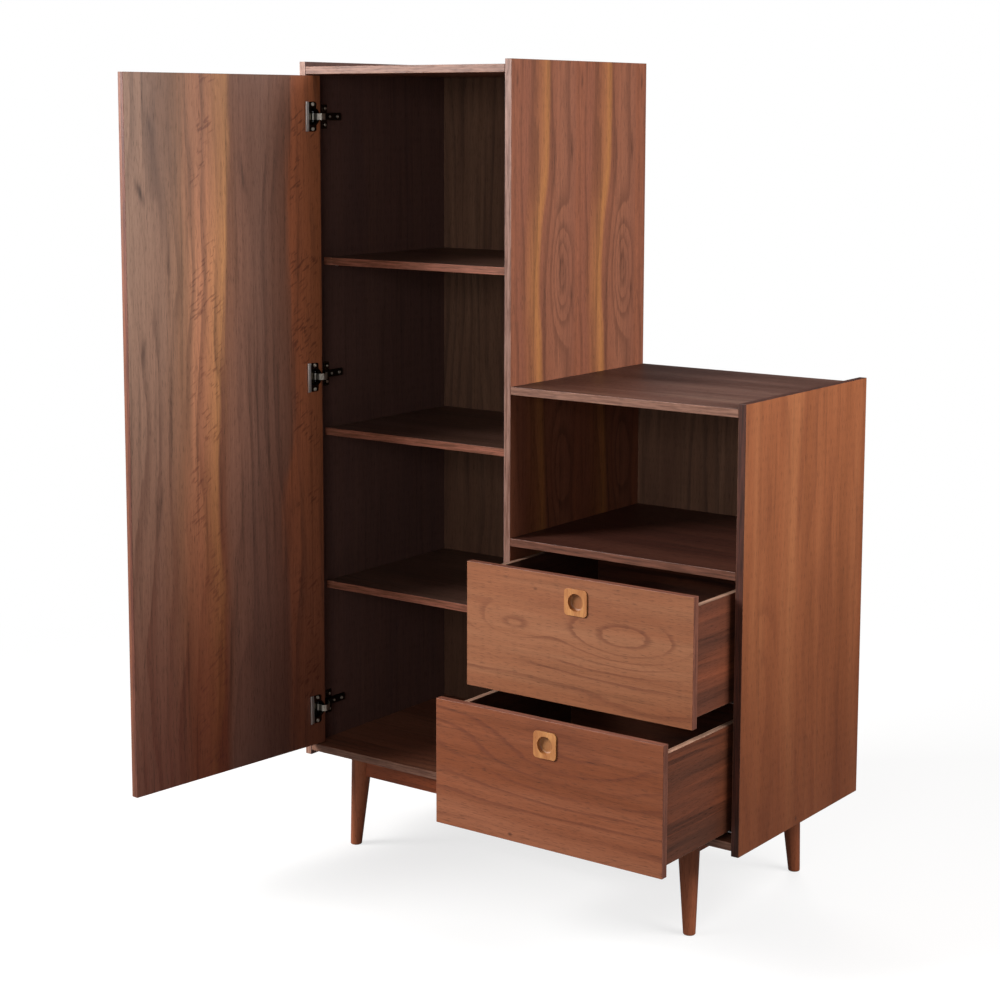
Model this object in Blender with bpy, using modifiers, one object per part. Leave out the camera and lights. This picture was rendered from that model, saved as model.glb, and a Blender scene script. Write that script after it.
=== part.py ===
"""Stepped storage cabinet on splayed legs: a tall cupboard with a door and shelves, and a low side with
an open cubby over two drawers. Every sub-part is its own object, and each moving group hangs from an
empty on its joint. The door stands open and the drawers are pulled out, as the cabinet rests here.

Cabinet coordinates: X from the left side's outer face, Y from the front face into the cabinet, Z from
the floor. The empty "cabinet_frame" moves all of it, so that the world origin is the bottom centre of
the whole box."""

import math

import bmesh
import bpy
from mathutils import Matrix, Vector

MM = 0.001

# Carcass
BOARD = 15 * MM
WIDTH = 1015 * MM
DEPTH = 460 * MM
TALL_HEIGHT = 1578 * MM
LOW_HEIGHT = 984 * MM
SIDE_FOOT = 175 * MM  # underside of the side panels
LIP = 9.5 * MM  # how far the side panels pass the tops and the bottoms
MIDDLE_X = 500 * MM  # left face of the middle panel
CUBBY_FLOOR_TOP = 688 * MM
SHELF_TOPS = {"lower": 530.5 * MM, "centre": 846.5 * MM, "upper": 1191.5 * MM}
SHELF_SETBACK = 50 * MM
SHELF_PLAY = 1.0 * MM
BACK_THICKNESS = 6 * MM
BACK_FRONT_Y = 445 * MM
BACK_GROOVE = 4 * MM

# Fits
GAP = 0.3 * MM  # between pieces that touch
EDGE_ROUND = 0.7 * MM

# Leg base
LEG_FOOT_X = 112.5 * MM
LEG_FRONT_Y = 25 * MM
LEG_BACK_Y = 424 * MM
LEG_SPLAY = 0.052  # sideways run for each unit of height
LEG_FOOT_RADIUS = 11.4 * MM
LEG_TOP_RADIUS = 21.6 * MM
LEG_FOOT_ROUND = 2 * MM
RAIL_HEIGHT = 38 * MM
RAIL_THICKNESS = 18 * MM

# Door and its hinges
DOOR_GAP_SIDE = 2 * MM
DOOR_GAP_END = 2.5 * MM
DOOR_OPEN_DEG = 96
HINGE_AXIS = (28.5 * MM, 6.5 * MM)
HINGE_HEIGHTS = {"lower": 276 * MM, "middle": 956 * MM, "upper": 1471 * MM}
CUP_CENTRE_X = 38.5 * MM
CUP_RADIUS = 17.3 * MM
CUP_WALL = 0.9 * MM
CUP_DEPTH = 11.7 * MM
CUP_BORE_DEPTH = 12 * MM
CUP_BORE_RADIUS = 17.6 * MM
FLANGE_THICKNESS = 1.2 * MM
FLANGE_SIZE = (20 * MM, 58 * MM)
FLANGE_RIM = 19 * MM
PIN_RADIUS = 1.1 * MM
PIN_HALF_LENGTH = 10.5 * MM
EYE_RADIUS = 2.1 * MM
PIN_CLEARANCE = 0.1 * MM
ARM_THICKNESS = 2 * MM
ARM_WIDTH = 12.4 * MM
# Centre line of the arm from the pin, round the door's corner, to the mounting plate
ARM_LINE = ((40, 5.9), (44, 7.2), (46.3, 11), (46.5, 16), (44, 24), (37, 32), (28, 39), (22.5, 45), (20.2, 53), (20.2, 99))
PLATE_THICKNESS = 3.2 * MM

# Drawers
DRAWER_GAP_SIDE = 2 * MM
DRAWER_GAPS = (2 * MM, 4 * MM, 4 * MM)  # below, between and above the fronts
DRAWER_PULL = {"lower": 228 * MM, "upper": 136 * MM}
DRAWER_SIDE_GAP = 10 * MM
DRAWER_SIDE_THICKNESS = 12 * MM
DRAWER_SIDE_RISE = 15 * MM  # side's lower edge above the front's
DRAWER_SIDE_DROP = 21 * MM  # side's upper edge below the front's
DRAWER_LENGTH = 415 * MM  # front face to the back of the box
DRAWER_BOTTOM_RISE = 13 * MM
DRAWER_BOTTOM_THICKNESS = 6 * MM
DRAWER_GROOVE = 5 * MM

# Handle plates
HANDLE_SIZE = 48 * MM
HANDLE_CORNER = 7 * MM
HANDLE_PROUD = 2.5 * MM
HANDLE_DEPTH = 10.2 * MM
HANDLE_RECESS_RADIUS = 16 * MM
HANDLE_RECESS_DEPTH = 8 * MM
HANDLE_BELOW_TOP = 43.5 * MM
HANDLE_POCKET_PLAY = 0.4 * MM
DOOR_HANDLE_FROM_EDGE = 46 * MM
DOOR_HANDLE_HEIGHT = 905 * MM

# Runners, measured inwards from the wall and upwards from the drawer side's lower edge
SHEET = 1.5 * MM
RUNNER_LENGTHS = {"cabinet": 400 * MM, "middle": 380 * MM, "drawer": 388 * MM}
RUNNER_START = {"cabinet": 17 * MM, "middle": 20 * MM, "drawer": 16 * MM}

LOW_X = MIDDLE_X + BOARD
RIGHT_X = WIDTH - BOARD
BOTTOM_UNDER = SIDE_FOOT + LIP
BOTTOM_TOP = BOTTOM_UNDER + BOARD
TALL_UNDER = TALL_HEIGHT - LIP - BOARD
LOW_UNDER = LOW_HEIGHT - LIP - BOARD


def cleared_scene():
    for obj in list(bpy.data.objects):
        bpy.data.objects.remove(obj, do_unlink=True)


def collection(name, hidden=False):
    made = bpy.data.collections.new(name)
    bpy.context.scene.collection.children.link(made)
    made.hide_render = hidden
    return made


def material(name, colour, roughness, metallic=0.0):
    made = bpy.data.materials.new(name)
    made.use_nodes = True
    made.diffuse_color = (*colour, 1)
    shader = made.node_tree.nodes["Principled BSDF"]
    shader.inputs["Base Color"].default_value = (*colour, 1)
    shader.inputs["Roughness"].default_value = roughness
    shader.inputs["Metallic"].default_value = metallic
    return made


cleared_scene()
PARTS = collection("storage_cabinet")
CUTTERS = collection("cutters", hidden=True)

WALNUT = material("walnut_veneer", (0.20, 0.075, 0.035), 0.42)
WALNUT_SOLID = material("walnut_solid", (0.18, 0.06, 0.025), 0.40)
WALNUT_INNER = material("walnut_inner", (0.10, 0.04, 0.02), 0.5)
OAK = material("pale_handle_wood", (0.48, 0.20, 0.08), 0.45)
NICKEL = material("nickel_plate", (0.62, 0.58, 0.52), 0.3, 1.0)
ZINC = material("zinc_steel", (0.55, 0.56, 0.58), 0.38, 1.0)


def empty(name, location, parent=None, turn_z=0.0):
    made = bpy.data.objects.new(name, None)
    made.location = location
    made.rotation_euler = (0, 0, turn_z)
    made.parent = parent
    PARTS.objects.link(made)
    return made


def placed(name, data, finish, parent, location, cutter=False):
    """An object holding this mesh or curve, under its parent, with a finish or as a hidden cutter."""
    made = bpy.data.objects.new(name, data)
    made.parent = parent
    made.location = location
    if cutter:
        made.hide_render = True
        made.display_type = "WIRE"
        CUTTERS.objects.link(made)
    else:
        data.materials.append(finish)
        PARTS.objects.link(made)
    return made


def smoothed(mesh, angle=35):
    mesh.shade_smooth()
    mesh.set_sharp_from_angle(angle=math.radians(angle))


def board(name, low, high, finish, parent, rounding=EDGE_ROUND, cutter=False, anchor=(0, 0, 0)):
    """A rectangular board between two corners, its origin at its centre and its arrises rounded."""
    low, high = Vector(low) - Vector(anchor), Vector(high) - Vector(anchor)
    shape = bmesh.new()
    bmesh.ops.create_cube(shape, size=1)
    bmesh.ops.scale(shape, vec=high - low, verts=shape.verts)
    mesh = bpy.data.meshes.new(name)
    shape.to_mesh(mesh)
    shape.free()
    made = placed(name, mesh, finish, parent, (low + high) / 2, cutter)
    if rounding and not cutter:
        bevel = made.modifiers.new("arris", "BEVEL")
        bevel.width = rounding
        bevel.segments = 2
    return made


def cylinder_mesh(name, radius, length, along, sides=32, top_radius=None):
    shape = bmesh.new()
    bmesh.ops.create_cone(
        shape,
        cap_ends=True,
        segments=sides,
        radius1=radius,
        radius2=radius if top_radius is None else top_radius,
        depth=length,
    )
    turns = {"X": Matrix.Rotation(math.pi / 2, 4, "Y"), "Y": Matrix.Rotation(math.pi / 2, 4, "X"), "Z": Matrix()}
    bmesh.ops.transform(shape, matrix=turns[along], verts=shape.verts)
    mesh = bpy.data.meshes.new(name)
    shape.to_mesh(mesh)
    shape.free()
    smoothed(mesh)
    return mesh


def boolean(target, other, operation="DIFFERENCE"):
    cut = target.modifiers.new(operation.lower(), "BOOLEAN")
    cut.operation = operation
    cut.solver = "EXACT"
    cut.object = other


def outline_object(name, outlines, half_length, finish, parent, location, turn, cutter=False):
    """A flat outline, with any holes, made thick to both sides of its plane, as a closed mesh."""
    curve = bpy.data.curves.new(name, "CURVE")
    curve.dimensions = "2D"
    curve.fill_mode = "BOTH"
    curve.extrude = half_length
    for points in outlines:
        spline = curve.splines.new("POLY")
        spline.points.add(len(points) - 1)
        for point, (x, y) in zip(spline.points, points):
            point.co = (x, y, 0, 1)
        spline.use_cyclic_u = True
    guide = bpy.data.objects.new(name + "_outline", curve)
    PARTS.objects.link(guide)
    graph = bpy.context.evaluated_depsgraph_get()
    mesh = bpy.data.meshes.new_from_object(guide.evaluated_get(graph))
    bpy.data.objects.remove(guide, do_unlink=True)
    mesh.name = name
    shape = bmesh.new()
    shape.from_mesh(mesh)
    bmesh.ops.remove_doubles(shape, verts=shape.verts, dist=1e-6)
    bmesh.ops.transform(shape, matrix=turn, verts=shape.verts)
    bmesh.ops.recalc_face_normals(shape, faces=shape.faces)
    shape.to_mesh(mesh)
    shape.free()
    smoothed(mesh)
    mesh.materials.clear()
    return placed(name, mesh, finish, parent, location, cutter)


def rounded_square(size, corner, steps=6):
    """Outline of a square with round corners, centred on its own origin."""
    inner = size / 2 - corner
    points = []
    for quarter, (sx, sy) in enumerate(((1, 1), (-1, 1), (-1, -1), (1, -1))):
        for step in range(steps + 1):
            angle = math.pi / 2 * (quarter + step / steps)
            points.append((sx * inner + corner * math.cos(angle), sy * inner + corner * math.sin(angle)))
    return points


# Where the open door reaches, in cabinet coordinates, to find the middle of the whole box


def door_corner(x, y):
    """The place of a point of the shut door once the door has turned to its rest angle."""
    open_angle = math.radians(DOOR_OPEN_DEG)
    u, v = x - HINGE_AXIS[0], y - HINGE_AXIS[1]
    turned = (u * math.cos(open_angle) + v * math.sin(open_angle), v * math.cos(open_angle) - u * math.sin(open_angle))
    return HINGE_AXIS[0] + turned[0], HINGE_AXIS[1] + turned[1]


DOOR_FREE_X = MIDDLE_X - DOOR_GAP_SIDE
LEFTMOST = door_corner(DOOR_FREE_X, 0)[0]
FOREMOST = door_corner(DOOR_FREE_X, BOARD)[1]
FRAME = empty("cabinet_frame", (-(LEFTMOST + WIDTH) / 2, -(FOREMOST + DEPTH) / 2, 0))


# Carcass


def carcass():
    sides = {
        "left_side_panel": (0, SIDE_FOOT, TALL_HEIGHT),
        "middle_panel": (MIDDLE_X, BOTTOM_UNDER, TALL_HEIGHT),
        "right_side_panel": (RIGHT_X, SIDE_FOOT, LOW_HEIGHT),
    }
    made = {}
    for name, (x, foot, top) in sides.items():
        made[name] = board(name, (x, 0, foot), (x + BOARD, DEPTH, top), WALNUT, FRAME)

    bays = {"tall": (BOARD, MIDDLE_X), "low": (LOW_X, RIGHT_X)}
    levels = {
        "tall_top": ("tall", TALL_UNDER),
        "tall_bottom": ("tall", BOTTOM_UNDER),
        "low_top": ("low", LOW_UNDER),
        "low_bottom": ("low", BOTTOM_UNDER),
    }
    for name, (bay, under) in levels.items():
        left, right = bays[bay]
        low = (left + GAP, 0, under)
        high = (right - GAP, DEPTH, under + BOARD)
        made[name] = board(name, low, high, WALNUT, FRAME)
    board(
        "cubby_floor",
        (LOW_X + GAP, 0, CUBBY_FLOOR_TOP - BOARD),
        (RIGHT_X - GAP, BACK_FRONT_Y - GAP, CUBBY_FLOOR_TOP),
        WALNUT,
        FRAME,
    )
    for name, top in SHELF_TOPS.items():
        board(
            name + "_shelf",
            (BOARD + SHELF_PLAY, SHELF_SETBACK, top - BOARD),
            (MIDDLE_X - SHELF_PLAY, BACK_FRONT_Y - SHELF_PLAY, top),
            WALNUT,
            FRAME,
        )

    held_by = {
        "tall": ("left_side_panel", "middle_panel", "tall_top", "tall_bottom"),
        "low": ("middle_panel", "right_side_panel", "low_top", "low_bottom"),
    }
    tops = {"tall": TALL_UNDER, "low": LOW_UNDER}
    for bay, (left, right) in bays.items():
        low = Vector((left - BACK_GROOVE, BACK_FRONT_Y, BOTTOM_TOP - BACK_GROOVE))
        high = Vector((right + BACK_GROOVE, BACK_FRONT_Y + BACK_THICKNESS, tops[bay] + BACK_GROOVE))
        board(bay + "_back", low, high, WALNUT_INNER, FRAME, rounding=0)
        room = Vector((GAP, GAP, GAP))
        groove = board(bay + "_back_groove", low - room, high + room, None, FRAME, cutter=True)
        for name in held_by[bay]:
            boolean(made[name], groove)


# Leg base


def leg_mesh(name, extra=0.0):
    """A tapered round leg that leans by LEG_SPLAY along +X and +Y while both its ends stay level."""
    height = BOTTOM_UNDER - GAP
    mesh = cylinder_mesh(name, LEG_FOOT_RADIUS + extra, height, "Z", 36, LEG_TOP_RADIUS + extra)
    shape = bmesh.new()
    shape.from_mesh(mesh)
    bmesh.ops.translate(shape, vec=(0, 0, height / 2), verts=shape.verts)
    if not extra:
        foot_edge = [e for e in shape.edges if all(v.co.z < 0.001 for v in e.verts)]
        bmesh.ops.bevel(shape, geom=foot_edge, offset=LEG_FOOT_ROUND, segments=3, affect="EDGES", profile=0.5)
    lean = Matrix(((1, 0, LEG_SPLAY, 0), (0, 1, LEG_SPLAY, 0), (0, 0, 1, 0), (0, 0, 0, 1)))
    bmesh.ops.transform(shape, matrix=lean, verts=shape.verts)
    shape.to_mesh(mesh)
    shape.free()
    smoothed(mesh)
    return mesh


def leg_base():
    """Four legs that lean outwards, and the four rails between them, hollowed to fit the round legs."""
    corners = {
        "front_left": (LEG_FOOT_X, LEG_FRONT_Y, 0),
        "front_right": (WIDTH - LEG_FOOT_X, LEG_FRONT_Y, 90),
        "back_right": (WIDTH - LEG_FOOT_X, LEG_BACK_Y, 180),
        "back_left": (LEG_FOOT_X, LEG_BACK_Y, 270),
    }
    cutters = {}
    for name, (x, y, turn) in corners.items():
        leg = placed(name + "_leg", leg_mesh(name + "_leg"), WALNUT_SOLID, FRAME, (x, y, 0))
        leg.rotation_euler.z = math.radians(turn)
        wide = placed(name + "_leg_room", leg_mesh(name + "_leg_room", 2 * GAP), None, FRAME, (x, y, 0), cutter=True)
        wide.rotation_euler.z = math.radians(turn)
        cutters[name] = wide

    rail_top = BOTTOM_UNDER - GAP
    rail_low = rail_top - RAIL_HEIGHT
    lean = LEG_SPLAY * (rail_low + rail_top) / 2
    left, right = LEG_FOOT_X + lean, WIDTH - LEG_FOOT_X - lean
    near, far = LEG_FRONT_Y + lean, LEG_BACK_Y - lean
    half = RAIL_THICKNESS / 2
    rails = {
        "front_rail": ((left, near - half), (right, near + half), ("front_left", "front_right")),
        "back_rail": ((left, far - half), (right, far + half), ("back_left", "back_right")),
        "left_rail": ((left - half, near), (left + half, far), ("front_left", "back_left")),
        "right_rail": ((right - half, near), (right + half, far), ("front_right", "back_right")),
    }
    for name, (low, high, ends) in rails.items():
        rail = board(name, (*low, rail_low), (*high, rail_top), WALNUT_SOLID, FRAME)
        for end in ends:
            boolean(rail, cutters[end])


# Handle plates


def handle(name, x, z, front, parent, anchor):
    """A square plate let into a front that faces -Y, with a round dished recess, and its pocket in the front."""
    to_front = Matrix.Rotation(math.pi / 2, 4, "X")
    at = Vector((x, HANDLE_DEPTH / 2 - HANDLE_PROUD, z)) - Vector(anchor)
    outline = rounded_square(HANDLE_SIZE, HANDLE_CORNER)
    plate = outline_object(name, [outline], HANDLE_DEPTH / 2, OAK, parent, at, to_front)
    bevel = plate.modifiers.new("arris", "BEVEL")
    bevel.width = 0.6 * MM
    bevel.segments = 2
    bevel.angle_limit = math.radians(60)
    dish = placed(name + "_dish", dish_mesh(name + "_dish"), None, parent, at, cutter=True)
    boolean(plate, dish)

    room = rounded_square(HANDLE_SIZE + 2 * HANDLE_POCKET_PLAY, HANDLE_CORNER + HANDLE_POCKET_PLAY)
    pocket_depth = HANDLE_DEPTH - HANDLE_PROUD + GAP
    pocket_at = Vector((x, 0, z)) - Vector(anchor)
    pocket = outline_object(name + "_pocket", [room], pocket_depth, None, parent, pocket_at, to_front, cutter=True)
    boolean(front, pocket)


def dish_mesh(name):
    """The recess as a solid: straight at the mouth and round below, its mouth towards -Y."""
    shape = bmesh.new()
    mouth = -HANDLE_DEPTH / 2
    rows = [(HANDLE_RECESS_RADIUS, mouth - 2 * MM)]
    turn = 4 * MM
    for step in range(6):
        angle = math.pi / 2 * step / 5
        radius = HANDLE_RECESS_RADIUS - turn * (1 - math.cos(angle))
        rows.append((radius, mouth + HANDLE_RECESS_DEPTH - turn + turn * math.sin(angle)))
    sides = 40
    rings = []
    for radius, y in rows:
        angles = [2 * math.pi * k / sides for k in range(sides)]
        rings.append([shape.verts.new((radius * math.cos(a), y, radius * math.sin(a))) for a in angles])
    for near, far in zip(rings, rings[1:]):
        for k in range(sides):
            shape.faces.new((near[k], near[(k + 1) % sides], far[(k + 1) % sides], far[k]))
    shape.faces.new(rings[0])
    shape.faces.new(rings[-1])
    bmesh.ops.recalc_face_normals(shape, faces=shape.faces)
    mesh = bpy.data.meshes.new(name)
    shape.to_mesh(mesh)
    shape.free()
    return mesh


# Door


def arm_outline():
    """Side view of a hinge arm: a bent strip with an eye round the pin, and the eye's hole."""
    line = [Vector((x * MM, y * MM)) for x, y in ARM_LINE]
    half = ARM_THICKNESS / 2
    pin = Vector(HINGE_AXIS)
    upper, lower = [], []
    for k, point in enumerate(line):
        before = line[k - 1] if k else pin
        after = line[k + 1] if k + 1 < len(line) else point
        along = ((point - before).normalized() + (after - point).normalized()).normalized()
        side = Vector((-along.y, along.x))
        upper.append(point + side * half)
        lower.append(point - side * half)
    reach = math.asin(half / EYE_RADIUS)
    first = line[0] - pin
    lean = math.atan2(first.y, first.x)
    eye = []
    for step in range(21):
        angle = lean + reach + (2 * math.pi - 2 * reach) * step / 20
        eye.append(pin + EYE_RADIUS * Vector((math.cos(angle), math.sin(angle))))
    hole = [pin + (PIN_RADIUS + PIN_CLEARANCE) * Vector((math.cos(a), math.sin(a))) for a in (2 * math.pi * k / 20 for k in range(20))]
    return [eye + lower + upper[::-1], hole]


def flange_outline():
    """A tall plate with round corners and a round rim about its middle, as one outline."""
    half_x, half_z = FLANGE_SIZE[0] / 2, FLANGE_SIZE[1] / 2
    corner = 5 * MM
    meet = math.acos(half_x / FLANGE_RIM)
    points = []
    for side in (0, 1):
        for step in range(13):
            angle = math.pi * side - meet + 2 * meet * step / 12
            points.append((FLANGE_RIM * math.cos(angle), FLANGE_RIM * math.sin(angle)))
        up = 1 - 2 * side
        for quarter in (0, 1):
            across = (1 - 2 * quarter) * up
            for step in range(6):
                angle = math.pi / 2 * (quarter + 2 * side + step / 5)
                x = across * (half_x - corner) + corner * math.cos(angle)
                z = up * (half_z - corner) + corner * math.sin(angle)
                points.append((x, z))
    return points


def hinge(level, z, door, axis):
    """One concealed hinge: cup and pin on the door, arm and mounting plate on the left side panel."""
    anchor = Vector((*HINGE_AXIS, 0))
    at = Vector((CUP_CENTRE_X, BOARD, z)) - anchor
    to_front = Matrix.Rotation(math.pi / 2, 4, "X")
    thick = FLANGE_THICKNESS / 2
    flange_at = at + Vector((0, thick + 0.1 * MM, 0))
    cup = outline_object(level + "_hinge_cup", [flange_outline()], thick, NICKEL, axis, flange_at, to_front)
    body_mesh = cylinder_mesh(level + "_cup_body", CUP_RADIUS, CUP_DEPTH + thick, "Y")
    body_at = at + Vector((0, (thick - CUP_DEPTH) / 2, 0))
    boolean(cup, placed(level + "_cup_body", body_mesh, None, axis, body_at, cutter=True), "UNION")
    well_depth = CUP_DEPTH - CUP_WALL
    well_mesh = cylinder_mesh(level + "_cup_well", CUP_RADIUS - CUP_WALL, 2 * well_depth, "Y")
    boolean(cup, placed(level + "_cup_well", well_mesh, None, axis, at, cutter=True))
    for side in (-1, 1):
        near, far = sorted((side * 7.4 * MM, side * 9.6 * MM))
        lug_low = (HINGE_AXIS[0] - 2.8 * MM, BOARD - CUP_DEPTH + 0.4 * MM, z + near)
        lug_high = (HINGE_AXIS[0] + 2.8 * MM, HINGE_AXIS[1] + 2.8 * MM, z + far)
        lug = board(f"{level}_lug_{side}", lug_low, lug_high, None, axis, cutter=True, anchor=anchor)
        boolean(cup, lug, "UNION")
    hole_mesh = cylinder_mesh(level + "_pin_hole", PIN_RADIUS + PIN_CLEARANCE, 24 * MM, "Z", 20)
    boolean(cup, placed(level + "_pin_hole", hole_mesh, None, axis, (0, 0, z), cutter=True))

    bore_mesh = cylinder_mesh(level + "_bore", CUP_BORE_RADIUS, 2 * CUP_BORE_DEPTH, "Y", 40)
    bore = placed(level + "_bore", bore_mesh, None, axis, at, cutter=True)
    boolean(door, bore)

    pin_mesh = cylinder_mesh(level + "_hinge_pin", PIN_RADIUS, 2 * PIN_HALF_LENGTH, "Z", 16)
    placed(level + "_hinge_pin", pin_mesh, ZINC, axis, (0, 0, z))

    outline_object(level + "_hinge_arm", arm_outline(), ARM_WIDTH / 2, NICKEL, FRAME, (0, 0, z), Matrix())
    plate = board(
        level + "_mounting_plate",
        (BOARD + GAP, 42 * MM, z - 7.5 * MM),
        (BOARD + PLATE_THICKNESS + GAP, 101 * MM, z + 7.5 * MM),
        NICKEL,
        FRAME,
        rounding=0,
    )
    wings = board(
        level + "_wings",
        (BOARD + GAP - 0.01 * MM, 46 * MM, z - 24 * MM),
        (BOARD + GAP + 1.8 * MM, 61 * MM, z + 24 * MM),
        None,
        FRAME,
        cutter=True,
    )
    boolean(plate, wings, "UNION")


def door():
    axis = empty("door_axis", (*HINGE_AXIS, 0), FRAME, math.radians(-DOOR_OPEN_DEG))
    anchor = (*HINGE_AXIS, 0)
    low = (BOARD + DOOR_GAP_SIDE, 0, BOTTOM_TOP + DOOR_GAP_END)
    high = (DOOR_FREE_X, BOARD, TALL_UNDER - DOOR_GAP_END)
    leaf = board("door_panel", low, high, WALNUT, axis, anchor=anchor)
    handle("door_handle", DOOR_FREE_X - DOOR_HANDLE_FROM_EDGE, DOOR_HANDLE_HEIGHT, leaf, axis, anchor)
    for level, z in HINGE_HEIGHTS.items():
        hinge(level, z, leaf, axis)


# Drawers and runners


def runner_member(name, boxes, start, length, finish, parent, wall_x, inward, side_low, anchor):
    """One rolled-steel member: boxes in its cross-section (from the wall, from the drawer side's edge) joined."""
    solids = []
    for number, (near, far, under, top) in enumerate(boxes):
        xs = sorted((wall_x + inward * near, wall_x + inward * far))
        low = (xs[0], start, side_low + under)
        high = (xs[1], start + length, side_low + top)
        first = number == 0
        made = board(
            name if first else f"{name}_{number}",
            low,
            high,
            finish if first else None,
            parent,
            rounding=0,
            cutter=not first,
            anchor=anchor,
        )
        solids.append(made)
    for other in solids[1:]:
        boolean(solids[0], other, "UNION")


def runner(drawer, side, side_low, drawer_frame, half_frame):
    """A concealed runner: a member on the cabinet wall, one that follows at half speed, one under the drawer."""
    wall_x, inward = (LOW_X, 1) if side == "left" else (RIGHT_X, -1)
    label = f"{drawer}_{side}_"
    mm = MM
    cabinet = (
        (GAP, GAP + SHEET, -5 * mm, 9 * mm),
        (GAP + 0.2 * mm, 46 * mm, -5 * mm, -3.5 * mm),
        (44.5 * mm, 46 * mm, -4.9 * mm, 2 * mm),
    )
    middle = (
        (25.5 * mm, 43 * mm, -3.1 * mm, -1.6 * mm),
        (25.5 * mm, 27 * mm, -3.0 * mm, 10.7 * mm),
        (41.5 * mm, 43 * mm, -3.0 * mm, 10.7 * mm),
    )
    under = (
        (23.4 * mm, 48.6 * mm, 11.2 * mm, 12.7 * mm),
        (23.4 * mm, 24.9 * mm, -2.7 * mm, 12.6 * mm),
        (47.1 * mm, 48.6 * mm, -2.7 * mm, 12.6 * mm),
    )
    still = (0, 0, 0)
    members = (
        ("cabinet_member", cabinet, "cabinet", FRAME, still),
        ("middle_member", middle, "middle", half_frame, still),
        ("drawer_member", under, "drawer", drawer_frame, still),
    )
    for name, boxes, kind, parent, anchor in members:
        start, length = RUNNER_START[kind], RUNNER_LENGTHS[kind]
        runner_member(label + name, boxes, start, length, ZINC, parent, wall_x, inward, side_low, anchor)


def drawer(level, front_low, front_high):
    frame = empty(level + "_drawer_frame", (0, -DRAWER_PULL[level], 0), FRAME)
    half_frame = empty(level + "_runner_frame", (0, -DRAWER_PULL[level] / 2, 0), FRAME)
    left, right = LOW_X + DRAWER_GAP_SIDE, RIGHT_X - DRAWER_GAP_SIDE
    front = board(level + "_drawer_front", (left, 0, front_low), (right, BOARD, front_high), WALNUT, frame)
    handle(level + "_drawer_handle", (left + right) / 2, front_high - HANDLE_BELOW_TOP, front, frame, (0, 0, 0))

    side_low, side_high = front_low + DRAWER_SIDE_RISE, front_high - DRAWER_SIDE_DROP
    near = BOARD + GAP
    outer = {"left": LOW_X + DRAWER_SIDE_GAP, "right": RIGHT_X - DRAWER_SIDE_GAP - DRAWER_SIDE_THICKNESS}
    sides = [front]
    for side, x in outer.items():
        low = (x, near, side_low)
        high = (x + DRAWER_SIDE_THICKNESS, DRAWER_LENGTH, side_high)
        sides.append(board(f"{level}_drawer_{side}_side", low, high, WALNUT, frame))
        runner(level, side, side_low, frame, half_frame)

    inner_left, inner_right = outer["left"] + DRAWER_SIDE_THICKNESS, outer["right"]
    bottom_low = side_low + DRAWER_BOTTOM_RISE
    bottom_high = bottom_low + DRAWER_BOTTOM_THICKNESS
    low = Vector((inner_left - DRAWER_GROOVE, BOARD - DRAWER_GROOVE, bottom_low))
    high = Vector((inner_right + DRAWER_GROOVE, DRAWER_LENGTH, bottom_high))
    board(level + "_drawer_bottom", low, high, WALNUT_INNER, frame, rounding=0)
    room = Vector((GAP, GAP, GAP))
    past = Vector((0, 5 * MM, 0))
    groove = board(level + "_bottom_groove", low - room, high + room + past, None, frame, cutter=True)
    for held in sides:
        boolean(held, groove)
    board(
        level + "_drawer_back",
        (inner_left + GAP, DRAWER_LENGTH - DRAWER_SIDE_THICKNESS, bottom_high + GAP),
        (inner_right - GAP, DRAWER_LENGTH, side_high),
        WALNUT,
        frame,
    )


def drawers():
    below, between, above = DRAWER_GAPS
    zone = CUBBY_FLOOR_TOP - BOARD - BOTTOM_TOP
    height = (zone - below - between - above) / 2
    lower = BOTTOM_TOP + below
    upper = lower + height + between
    drawer("lower", lower, lower + height)
    drawer("upper", upper, upper + height)


carcass()
leg_base()
door()
drawers()
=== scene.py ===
"""A stepped walnut cabinet, seen with its door open and its drawers pulled out, in a pale studio."""

import math

import bmesh
import bpy
from mathutils import Matrix, Vector


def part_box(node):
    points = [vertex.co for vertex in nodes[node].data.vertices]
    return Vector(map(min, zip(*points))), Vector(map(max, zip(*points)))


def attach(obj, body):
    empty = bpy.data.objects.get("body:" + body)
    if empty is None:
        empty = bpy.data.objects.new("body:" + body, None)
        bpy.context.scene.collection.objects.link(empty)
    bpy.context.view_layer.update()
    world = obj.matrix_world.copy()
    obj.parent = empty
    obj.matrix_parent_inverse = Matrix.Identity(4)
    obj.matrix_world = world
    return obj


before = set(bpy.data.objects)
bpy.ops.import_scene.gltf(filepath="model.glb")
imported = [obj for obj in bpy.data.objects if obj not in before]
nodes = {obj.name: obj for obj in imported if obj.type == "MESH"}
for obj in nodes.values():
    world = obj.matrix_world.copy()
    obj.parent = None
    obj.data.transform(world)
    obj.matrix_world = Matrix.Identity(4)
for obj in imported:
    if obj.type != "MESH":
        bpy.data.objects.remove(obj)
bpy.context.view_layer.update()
for selected in bpy.context.selected_objects:
    selected.select_set(False)


# Studio: a round floor of white paper, white surroundings, one broad light at the front left and one at the
# right, a weak one in front to fill, and one behind for the tops and the back.

scene = bpy.context.scene
scene.view_settings.view_transform = "Standard"
scene.view_settings.look = "None"

lens = bpy.data.cameras.new("camera")
lens.sensor_width = 36
lens.lens = 74.63
lens.shift_y = -0.12
lens.clip_end = 60
camera = bpy.data.objects.new("camera", lens)
camera.location = (2.2604, -3.0921, 1.48)
camera.rotation_euler = (math.radians(90 - 7.352), math.radians(-0.16), math.radians(36.22))
scene.collection.objects.link(camera)
scene.camera = camera


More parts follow.
